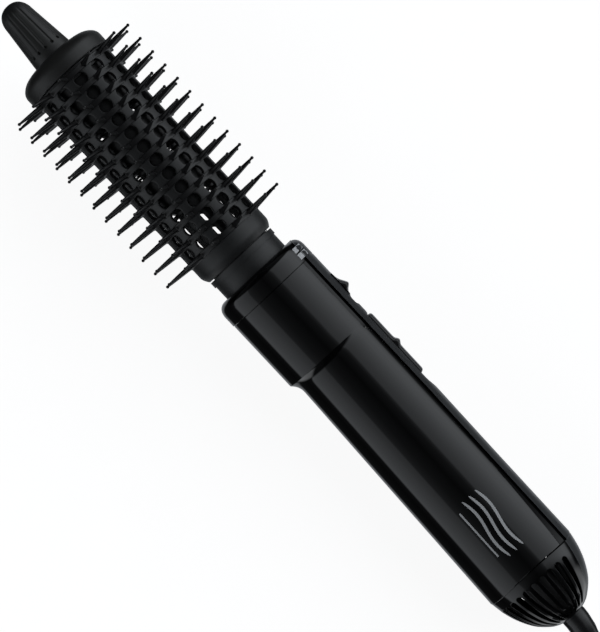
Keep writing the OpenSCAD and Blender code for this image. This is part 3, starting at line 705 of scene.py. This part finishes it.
def shell_half(name, node, sign):
    """Front and rear parts of a casing half, with rolled edges along the strip, the seam and both ends."""
    b = Build()
    n_u = 54
    f = 0.28                                       # radius of the rolled edges
    fx = [(-15.8 + 0.0, 0.30), (-15.8 + 0.05, 0.12), (-15.8 + 0.16, 0.03), (-15.8 + 0.32, 0.0), (-13, 0), (-9, 0), (-4, 0), (2, 0), (8, 0), (13, 0)]
    front_steps = [(x, i) for x, i in fx]
    g = [0.0, 0.015, 0.05, 0.1, 0.16, 0.23, 0.31, 0.4, 0.5, 0.6, 0.72, 0.86, 1.0]
    rear_x = [30, 33, 37, 42, 48, 55, 62, 70, 78, 86, 94, 102, 110, 118, 126, 134, 140, 143.5]
    end = [(144.62, 0.0), (144.78, 0.03), (144.88, 0.12), (144.93, 0.30)]

    def section(kind, val, inset):
        """Points round one closed cross-section: top edge, skin, seam edge, inner wall."""
        def x_of(psi):
            if kind == "front":
                return val
            if kind == "edge":
                return COVE_X + 9.5 * val
            return val

        def top_psi(xx, front):
            y = shell_top(xx)
            if front:
                return math.acos(max(-1, min(1, y / FRONT_R)))
            r = cove_r(xx)
            z = math.sqrt(max(r * r - (y - grip_y(xx)) ** 2, 0.1))
            return math.atan2(z, y)

        front = kind == "front"
        pts = []
        us = [0.0, 0.004, 0.012] + list(np.linspace(0.03, 0.97, n_u)) + [0.988, 0.996, 1.0]
        psi0 = top_psi(x_of(1.0), front)
        for _ in range(4):
            psi0 = top_psi(x_of(psi0), front)
        psi0 += inset / 22
        psi1 = math.pi - inset / 22
        r_f = FRONT_R if front else None
        for uu in us:
            psi = psi0 + (psi1 - psi0) * uu
            xx = x_of(psi)
            R = FRONT_R if front else rad_at(xx, psi)
            # distance along the skin to the two long edges decides the roll
            dt = (psi - psi0) * R
            db = (psi1 - psi) * R
            drop = 0.0
            for d_ in (dt, db):
                if d_ < f:
                    drop = max(drop, f - math.sqrt(max(f * f - (f - d_) ** 2, 0)))
            R2 = R - drop - inset
            pts.append((xx, R2 * math.cos(psi), R2 * math.sin(psi)))
        inner = []
        wall = 1.9
        for uu in np.linspace(1, 0, 25):
            psi = psi0 + (psi1 - psi0) * uu
            xx = x_of(psi)
            R = (FRONT_R if front else rad_at(xx, psi)) - wall + inset
            inner.append((xx, R * math.cos(psi), R * math.sin(psi)))
        return [(p[0], p[1], sign * p[2]) for p in pts + inner]

    rows = [section("front", x, i) for x, i in front_steps]
    rows.append(section("edge", 0.0, 0.0)) if False else None
    # the front part ends on the crisp edge: same points as the first row of the cove
    first = section("edge", 0.0, 0.0)
    rows.append([(p[0] - 0.18, p[1], p[2]) for p in first])
    rows.append([(p[0] - 0.03, p[1] * 0.9995, p[2] * 0.9995) for p in first])
    for t in g[1:]:
        rows.append(section("edge", t, 0.0))
    rows += [section("rear", x, 0.0) for x in rear_x]
    rows += [section("rear", x, i) for x, i in end]
    b.grid(rows, wrap=True)
    nn = len(rows[0])
    n_out = nn - 25
    for base_i in (0, (len(rows) - 1) * nn):
        for j in range(24):
            o0 = int(round(j * (n_out - 1) / 24))
            o1 = int(round((j + 1) * (n_out - 1) / 24))
            face = [base_i + t for t in range(o0, o1 + 1)] + [base_i + nn - 1 - (j + 1), base_i + nn - 1 - j]
            b.f.append(face)
            b.m.append(0)
    b.v = [seam_bow(p) for p in b.v]
    return put(name, b, "gloss_black", "handle", [node], angle=30)


shell_half("casing_left", "left_shell", 1)
right_half = shell_half("casing_right", "right_shell", -1)

# ---------------------------------------------------------------- front ring
ring_prof = smooth_profile([(-26.2, 18.2), (-26.1, 18.9), (-25.7, 20.0), (-24.8, 21.15), (-23.4, 22.0), (-21.6, 22.4), (-20.5, 22.42)], 0.35)
ring_prof += rounded([(-18.5, 22.4), (-15.9, 22.4, 0.22), (-15.9, 21.6)], 4)
inner_prof = [(-15.9, 19.9), (-14.3, 19.9), (-14.3, 18.4), (-15.9, 18.4), (-15.9, 16.85), (-26.0, 16.85), (-26.2, 17.0)]
b = Build()
top_y = 17.3
rows = []
for x, r in ring_prof + inner_prof + [ring_prof[0]]:
    yy = top_y if r > top_y else r
    psi0 = math.acos(min(1, top_y / max(r, top_y + 0.001)))
    row = []
    ro = r + 0.25 * max(0.0, min(1.0, (r - 17.5) / 2.0))
    for j in range(129):
        psi = psi0 + (2 * math.pi - 2 * psi0) * j / 128
        row.append((x, ro * math.cos(psi), ro * math.sin(psi)))
    rows.append(row)
b.grid(rows)
k = len(rows[0])
m = len(rows) - 1
b.f += [[i * k for i in range(m)], [i * k + k - 1 for i in range(m)]]
b.m += [0, 0]
put("front_ring_body", b, "gloss_black", "handle", ["front_ring"], angle=32)

# ---------------------------------------------------------------- switch strip


STRIP_CROWN = smooth_table([(-30, 22.98), (-8, 22.98), (10, 22.95), (30, 22.9), (50, 22.8), (61, 22.72), (72, 22.58), (85, 22.42), (97, 22.28), (120, 22.1), (132, 22.02), (145, 21.95), (150, 21.9)])
STRIP_CUT = [(-30, 99), (7.4, 99), (7.5, 22.9), (8.2, 22.3), (9.0, 22.08), (11.6, 22.08), (12.3, 22.3), (13.2, 22.72), (17.4, 22.76), (18.2, 22.6), (19.0, 22.02), (54.5, 22.02), (56.5, 22.1),
             (59.5, 22.5), (61.5, 22.72), (61.6, 99), (160, 99)]


def strip_top(x):
    """(centre y, radius, highest y) of the strip's skin."""
    crown = STRIP_CROWN(x)
    if x < 16:
        yc = 2.7
    elif x < 34:
        t = (x - 16) / 18
        yc = 2.7 + (grip_y(x) - 2.7) * t * t * (3 - 2 * t)
    else:
        yc = grip_y(x)
    r = crown - yc
    if x < -21.6:
        h = smooth_profile([(-26.2, 16.1), (-26.0, 17.2), (-25.5, 18.25), (-24.6, 19.2), (-23.2, 19.97), (-21.6, 20.28)], 0.2)
        r = float(np.interp(x, [q[0] for q in h], [q[1] for q in h]))
    return yc, r, table(STRIP_CUT, x)


def strip_section(x, inset=0.0):
    yc, r, top = strip_top(x)
    r -= inset
    yl = strip_low(x) + inset
    ys = shell_top(x) - 0.05
    f = 0.35
    pts = []
    # right half from the bottom of the lip up to the crown, then mirrored
    zl = math.sqrt(max(r * r - (yl - yc) ** 2, 0.3))
    lip = zl - 1.15
    zs = lip + (math.sqrt(max(r * r - (ys - yc) ** 2, 0.3)) - zl)
    half = [(ys, zs), (yl - 0.02, lip), (yl, lip + 0.02), (yl, zl - f), (yl + 0.05, zl - 0.14), (yl + 0.16, zl - 0.05 - 0.02), (yl + f, math.sqrt(max(r * r - (yl + f - yc) ** 2, 0.2)))]
    p0 = math.atan2(half[-1][1], half[-1][0] - yc)
    n = 22
    # the flat top meets the side curve in a soft corner
    if top < yc + r - 0.02:
        zt = math.sqrt(max(r * r - (top - inset - yc) ** 2, 0.0))
        pt = math.atan2(zt, top - inset - yc)
    else:
        pt = 0.0
    for i in range(1, n + 1):
        p = p0 + (pt - p0) * i / n
        y, z = yc + r * math.cos(p), r * math.sin(p)
        half.append((y, z))
    last_y, last_z = half[-1]
    for i in range(1, 7):
        t = i / 6
        z = last_z * (1 - t)
        soft = 0.10 * math.exp(-((last_z - z) / 0.5) ** 2) if pt > 0 else 0
        half.append((min(last_y, 99) + (0.0 if pt > 0 else (yc + math.sqrt(r * r - z * z) - last_y)) - soft * 0, z))
    ring = [(x, y, z) for y, z in half] + [(x, y, -z) for y, z in reversed(half[:-1])]
    return ring


xs = [(-26.15, 0.25), (-26.0, 0.12), (-25.7, 0.05), (-25.2, 0), (-24.6, 0), (-23.8, 0), (-23, 0), (-22, 0), (-21, 0), (-19, 0), (-17, 0), (-16.05, 0), (-15.9, 0.10), (-15.7, 0.10), (-15.55, 0)]
xs += [(x, 0) for x in (-13, -10, -7, -4, -1, 2, 5, 6.5, 7.3, 7.6, 7.9, 8.2, 8.6, 9, 10, 11, 11.6, 12, 12.3, 12.7, 13.2, 14, 16, 17.4, 17.8, 18.2, 18.6, 19, 20.5, 22, 23.5, 25, 27, 29, 31, 33, 34, 37, 41, 45, 50, 54.5, 55.5, 56.5, 57.5, 58.5, 59.5, 60.5, 61.4, 61.8, 64, 68, 74, 80, 86, 92, 98,
                        104, 110, 116, 122, 128, 134, 140, 143.6)]
xs += [(144.66, 0), (144.8, 0.03), (144.9, 0.12), (144.95, 0.3)]
rows = [strip_section(x, i) for x, i in xs]
b = Build()
b.grid(rows, wrap=True)
k = len(rows[0])
b.m = []
for i in range(len(rows) - 1):
    for j in range(k):
        lipside = j in (0, 1, 2) or j in (k - 2, k - 3, k - 4, k - 1)
        b.m.append(1 if lipside else 0)
b.f += [list(range(k)), [(len(rows) - 1) * k + j for j in range(k)]]
b.m += [0, 0]
b.v = [(p[0] - (0.6 if p[0] > 140 else 0), p[1], p[2]) for p in b.v]
put("switch_strip_satin", b, "strip_grey", "handle", ["switch_strip"], angle=36, mats=["strip_grey", "gloss_black"])

# ---------------------------------------------------------------- rear cap
DOME = [(145, 22.2), (145.35, 22.5), (147.3, 22.15), (149, 21.85), (150.7, 21.5), (152.4, 21.05), (154.1, 20.5), (155.8, 19.9), (157.5, 19.15),
        (159.2, 18.3), (160.9, 17.35), (162.6, 16.25), (164.3, 14.95), (165.9, 13.4), (167.6, 11.55), (169.2, 9.5), (170.2, 7.6)]
dome = np.array(smooth_profile(DOME[1:], 0.3))


def dome_r(x):
    return float(np.interp(x, dome[:, 0], dome[:, 1]))


def dome_in(x):
    return float(np.interp(x, [148, 150, 156, 161, 165.5, 167.7, 169.0], [19.2, 18.7, 17.3, 14.7, 11.2, 8.6, 7.3]))


def cap_fn(p):
    """Puts a point of the cap, turned about the x axis, on the grip's own axis."""
    x, y, z = p
    dx = x - 25
    return (25 + dx * math.cos(GA) - y * math.sin(GA), 1.3 + dx * math.sin(GA) + y * math.cos(GA), z)


def slot_outline(nx, na):
    """Tapered slot with rounded ends, in the order of a cell's edge: rear end first."""
    xf, xr, wf, wr = 149.6, 168.4, 1.45, 0.62
    pts = []
    for i in range(na):
        a = -math.pi / 2 + math.pi * i / na
        pts.append((xr - wr + wr * math.cos(a), wr * math.sin(a)))
    for i in range(nx):
        t = i / nx
        pts.append((xr - wr + (xf + wf - xr + wr) * t, wr + (wf - wr) * t))
    for i in range(na):
        a = math.pi / 2 + math.pi * i / na
        pts.append((xf + wf + wf * math.cos(a), wf * math.sin(a)))
    for i in range(nx):
        t = i / nx
        pts.append((xf + wf + (xr - wr - xf - wf) * t, -wf + (wf - wr) * t))
    return pts


def plain_cell(b, x0, x1, a_mid, half, r_out, r_in, nb, mat):
    """A cell without a slot, with the same points along its edges as one that has a slot."""
    nx, na = nb
    xs_ = [x0 + (x1 - x0) * i / nx for i in range(nx + 1)]
    as_ = [a_mid - half + 2 * half * i / na for i in range(na + 1)]
    b.grid([[polar(x, r_out(x), q) for q in as_] for x in xs_], mat=mat)
    b.grid([[polar(x, r_in(x), q) for q in as_] for x in xs_], mat=0)


b = Build()
for k in range(30):
    if 19 <= k <= 26:
        plain_cell(b, 149.0, 169.2, math.radians(12 * k - 1), math.radians(6), dome_r, dome_in, (26, 6), 1 if 20 <= k <= 25 else 0)
    else:
        holed_cell(b, 149.0, 169.2, math.radians(12 * k - 1), math.radians(6), slot_outline(26, 6), dome_r, dome_in, (26, 6), round_r=0.22)
NC = 180
pc = math.radians(-7)
front_rows = rounded([(149.0, dome_in(149.0)), (142.7, 18.8), (142.7, 19.9), (145.02, 19.9), (145.02, 22.2, 0.15), (145.4, 22.45, 0.2), (147.3, dome_r(147.3))], 3) + [(148.2, dome_r(148.2)), (149.0, dome_r(149.0))]
rear_rows = [(169.2, dome_r(169.2)), (169.6, 8.75), (170.0, 8.0), (170.2, 7.5), (170.2, 5.75), (167.9, 5.75), (167.9, 7.0), (169.2, dome_in(169.2))]
for rows in (front_rows, rear_rows):
    b.grid([[polar(x, r, pc + 2 * math.pi * j / NC) for j in range(NC)] for x, r in rows], wrap=True)
    n = len(b.m) - NC * (len(rows) - 1)
    for i in range(len(rows) - 1):
        for j in range(NC):
            deg = math.degrees(pc + 2 * math.pi * (j + 0.5) / NC) % 360
            if 233 < deg < 305 and rows[i][1] > 19.95 and rows is front_rows:
                b.m[n + i * NC + j] = 1
b.v = [seam_bow(cap_fn(p)) for p in b.v]
put("rear_cap_slotted", b, "gloss_black", "handle", ["rear_cap"], angle=38, mats=["gloss_black", "strip_grey"])

# ---------------------------------------------------------------- thumb slides


def slide_piece(name, top, y0, width, node, body, leg, drop):
    """A slide with a lengthwise profile top of (x, y), crowned across, its edges rolled, standing on y0."""
    fine = []
    h = smooth_profile(top, 0.3)
    for q in h:
        if not fine or abs(q[0] - fine[-1][0]) > 1e-3:
            fine.append(q)
    hw = width / 2
    across = [(-1.0, -0.75), (-0.985, -0.42), (-0.955, -0.20), (-0.90, -0.05)] + [(u, 0.0) for u in np.linspace(-0.82, 0.82, 13)] + [(0.90, -0.05), (0.955, -0.20), (0.985, -0.42), (1.0, -0.75)]
    b = Build()
    rows = []
    n = len(fine)
    for i, (x, y) in enumerate(fine):
        row = [(x, y0, -hw), (x, y0 + 0.05, -hw)]
        for u, d in across:
            row.append((x, max(y - drop * u * u + d, y0 + 0.08), u * hw))
        row += [(x, y0 + 0.05, hw), (x, y0, hw)]
        rows.append(row)
    b.grid(rows)
    k = len(rows[0])
    b.f += [[i for i in range(k)], [(n - 1) * k + i for i in range(k)]]
    b.f.append([i * k for i in range(n)] + [i * k + k - 1 for i in range(n - 1, -1, -1)])
    b.m += [0, 0, 0]
    x0, x1, ya, yb, z0 = leg
    b.add([(x0, ya, -z0), (x1, ya, -z0), (x1, yb, -z0), (x0, yb, -z0), (x0, ya, z0), (x1, ya, z0), (x1, yb, z0), (x0, yb, z0)],
          [[0, 1, 2, 3], [4, 5, 6, 7], [0, 1, 5, 4], [1, 2, 6, 5], [2, 3, 7, 6], [3, 0, 4, 7]])
    return put(name, b, "button_black", body, [node], angle=48)


mode_top = [(19.25, 22.15), (19.3, 22.9), (19.5, 23.5), (20.1, 23.85), (21.5, 23.92), (27, 23.9), (32.6, 23.88), (34.0, 24.1), (35.0, 24.75), (35.6, 25.05), (36.1, 25.05), (36.7, 24.7), (37.6, 24.1), (38.8, 23.85),
            (45, 23.82), (50.2, 23.8), (51.4, 23.7), (52.0, 23.35), (52.2, 22.8), (52.25, 22.15)]
slide_piece("mode_slide_plate", mode_top, 22.06, 11, "mode_button", "mode_switch", (33.5, 38.0, 11.2, 22.5, 1.6), 0.85)
rel_top = [(-4.2, 23.08), (-3.0, 23.15), (-1.6, 23.3), (-0.2, 23.75), (1.2, 24.5), (2.4, 25.2), (3.2, 25.6), (3.8, 25.58), (4.4, 25.15), (5.2, 24.2), (6.0, 23.45), (7.0, 22.95), (7.4, 22.9)]
slide_piece("release_slide_ramp", rel_top, 22.85, 10, "release_button", "release", (-1.0, 3.0, 15.55, 23.1, 1.5), 0.95)

# ---------------------------------------------------------------- generic marks


def skin_mark(name, polys, x0, lift_mm, mat, body, rad_fn):
    """Thin raised marks that follow the grip's skin. polys are lists of (x, arc) in mm, arc measured from the +z line towards +y."""
    b = Build()
    for poly in polys:
        n = len(poly)
        rows = []
        for d in (-0.05, lift_mm):
            row = []
            for px, arc in poly:
                x = x0 + px
                r = rad_fn(x) + d
                a = arc / r
                row.append((x, grip_y(x) + r * math.sin(a), r * math.cos(a)))
            rows.append(row)
        o = len(b.v)
        b.grid(rows, wrap=True)
        b.f.append([o + n + j for j in range(n)])
        b.f.append([o + j for j in range(n)][::-1])
        b.m += [0, 0]
    return make(name, b.v, b.f, mat, body, angle=30, face_mat=b.m)


def bar(cx, cy, w, h, e=0.5, n=5):
    """Rounded bar outline."""
    pts = []
    for qx, qy, a0 in ((1, 1, 0), (-1, 1, 90), (-1, -1, 180), (1, -1, 270)):
        for i in range(n):
            a = math.radians(a0 + 90 * i / (n - 1))
            pts.append((cx + qx * (w / 2 - e) + e * math.cos(a), cy + qy * (h / 2 - e) + e * math.sin(a)))
    return pts


def wave(cx, cy, length, amp, w, periods=1.0, n=44):
    """Outline of a wavy stroke with round-cut ends."""
    upper, lower = [], []
    for i in range(n + 1):
        t = i / n
        x = cx + (t - 0.5) * length
        y = cy + amp * math.sin(2 * math.pi * periods * t)
        e = w * min(1.0, math.sqrt(max(0.02, 1 - (2 * t - 1) ** 6)))
        upper.append((x, y + e / 2))
        lower.append((x, y - e / 2))
    return upper + lower[::-1]


marks = [wave(0, 4.6, 30, 1.1, 1.25), wave(0, 0.9, 30, 1.1, 1.25), wave(0, -2.8, 30, 1.1, 1.25), bar(0, -6.9, 24, 0.8, 0.38)]
skin_mark("grip_mark", marks, 116.5, 0.1, "mark_silver", "handle", lambda x: grip_r(x) + 0.25)
b = Build()
for x0, x1 in ((-22.9, -20.5), (-19.7, -17.1)):
    rows = []
    for d in (-0.05, 0.03):
        ring = []
        edge = [(x0 + (x1 - x0) * i / 6, 22) for i in range(7)] + [(x1, 22 + 22 * i / 10) for i in range(1, 11)] + [(x1 + (x0 - x1) * i / 6, 44) for i in range(1, 7)] + [(x0, 44 - 22 * i / 10) for i in range(1, 10)]
        for x, deg in edge:
            yc, r, _ = strip_top(x)
            q = math.radians(deg)
            ring.append((x, yc + (r + d) * math.cos(q), (r + d) * math.sin(q)))
        rows.append(ring)
    o = len(b.v)
    b.grid(rows, wrap=True)
    n = len(rows[0])
    b.f += [[o + i for i in range(n)], [o + n + i for i in range(n)]]
    b.m += [0, 0]
make("ring_marks", b.v, b.f, "mark_silver", "handle", angle=30, face_mat=b.m)

# ---------------------------------------------------------------- light
scene = bpy.context.scene
world = bpy.data.worlds.new("studio")
scene.world = world
world.use_nodes = True
nt = world.node_tree
nt.nodes.clear()
tc = nt.nodes.new("ShaderNodeTexCoord")


def dot(vec):
    d = nt.nodes.new("ShaderNodeVectorMath")
    d.operation = "DOT_PRODUCT"
    d.inputs[1].default_value = tuple(vec)
    nt.links.new(tc.outputs["Generated"], d.inputs[0])
    return d.outputs["Value"]


def math_node(op, a, b=None, c=None):
    n = nt.nodes.new("ShaderNodeMath")
    n.operation = op
    for i, v in enumerate((a, b, c)):
        if v is None:
            continue
        if isinstance(v, (int, float)):
            n.inputs[i].default_value = v
        else:
            nt.links.new(v, n.inputs[i])
    return n.outputs[0]


theta = math_node("ARCTAN2", dot(EY), dot(EZ))
pos01 = math_node("MULTIPLY_ADD", theta, 0.5 / math.pi, 0.5)
ramp = nt.nodes.new("ShaderNodeValToRGB")
ramp.color_ramp.interpolation = "LINEAR"
PEAK = 1.4
STOPS = [(-180, 0.35), (-152, 0.35), (-143, 0.02), (-108, 0.02), (-95, 0.05), (-91, 0.95), (-86, 0.93), (-75, 0.83), (-64, 0.74), (-54, 0.60), (-45, 0.50), (-42, 0.21), (-33, 0.14),
         (-25, 0.09), (0, 0.03), (18, 0.10), (24, 0.22), (28, 0.60), (40, 0.72), (55, 0.96), (76, 1.30), (90, 1.29), (100, 0.95), (106, 0.10), (112, 0.02), (143, 0.02), (152, 0.45), (180, 0.40)]
els = ramp.color_ramp.elements
while len(els) > 2:
    els.remove(els[-1])
els[0].position, els[1].position = 0.0, 1.0
for i, (deg, v) in enumerate(STOPS):
    pos = (deg + 180) / 360
    if i == 0:
        e = els[0]
    elif i == len(STOPS) - 1:
        e = els[len(els) - 1]
    else:
        e = els.new(pos)
    e.position = pos
    q = v / PEAK
    e.color = (q * 0.95, q, q * 1.05, 1)
nt.links.new(pos01, ramp.inputs["Fac"])
lat = math_node("ABSOLUTE", dot(EX))
fall = nt.nodes.new("ShaderNodeMapRange")
fall.interpolation_type = "SMOOTHSTEP"
fall.inputs["From Min"].default_value = 0.44
fall.inputs["From Max"].default_value = 0.60
fall.inputs["To Min"].default_value = 1.0
fall.inputs["To Max"].default_value = 0.06
nt.links.new(lat, fall.inputs["Value"])
# towards the cord the pale table and wall below the brush light its end faces
rear = nt.nodes.new("ShaderNodeMapRange")
rear.interpolation_type = "SMOOTHSTEP"
rear.inputs["From Min"].default_value = 0.50
rear.inputs["From Max"].default_value = 0.66
nt.links.new(dot(EX), rear.inputs["Value"])
under = nt.nodes.new("ShaderNodeMapRange")
under.interpolation_type = "SMOOTHSTEP"
under.inputs["From Min"].default_value = 0.10
under.inputs["From Max"].default_value = -0.12
nt.links.new(dot(EZ), under.inputs["Value"])
rear_light = math_node("MULTIPLY", rear.outputs["Result"], under.outputs["Result"])
strength = math_node("MULTIPLY", fall.outputs["Result"], PEAK)
bg_lit = nt.nodes.new("ShaderNodeBackground")
nt.links.new(ramp.outputs["Color"], bg_lit.inputs["Color"])
nt.links.new(strength, bg_lit.inputs["Strength"])
bg_rear = nt.nodes.new("ShaderNodeBackground")
bg_rear.inputs["Color"].default_value = (0.97, 1.0, 1.03, 1)
nt.links.new(math_node("MULTIPLY", rear_light, 1.1), bg_rear.inputs["Strength"])
add_w = nt.nodes.new("ShaderNodeAddShader")
nt.links.new(bg_lit.outputs["Background"], add_w.inputs[0])
nt.links.new(bg_rear.outputs["Background"], add_w.inputs[1])
bg_cam = nt.nodes.new("ShaderNodeBackground")
bg_cam.inputs["Color"].default_value = (1, 1, 1, 1)
bg_cam.inputs["Strength"].default_value = 1.0
lp = nt.nodes.new("ShaderNodeLightPath")
mixw = nt.nodes.new("ShaderNodeMixShader")
nt.links.new(lp.outputs["Is Camera Ray"], mixw.inputs["Fac"])
nt.links.new(add_w.outputs[0], mixw.inputs[1])
nt.links.new(bg_cam.outputs["Background"], mixw.inputs[2])
out = nt.nodes.new("ShaderNodeOutputWorld")
nt.links.new(mixw.outputs["Shader"], out.inputs["Surface"])
scene.view_settings.view_transform = "Standard"
scene.view_settings.look = "None"

# ---------------------------------------------------------------- floor
fm, fb = base_material("floor_pale", (0.42, 0.42, 0.42), 0.6)
fb.inputs["Emission Color"].default_value = (1, 1, 1, 1)
fb.inputs["Emission Strength"].default_value = 0.90
tint(fm, fb, noise(fm, 30, 3), (0.41, 0.41, 0.41), (0.43, 0.43, 0.43))
me = bpy.data.meshes.new("floor")
S = 4.0
me.from_pydata([(-S, -S, -0.0002), (S, -S, -0.0002), (S, S, -0.0002), (-S, S, -0.0002)], [], [[0, 1, 2, 3]])
me.materials.append(fm)
floor = bpy.data.objects.new("floor", me)
scene.collection.objects.link(floor)
floor.visible_glossy = False
floor.visible_diffuse = False
floor.visible_shadow = False
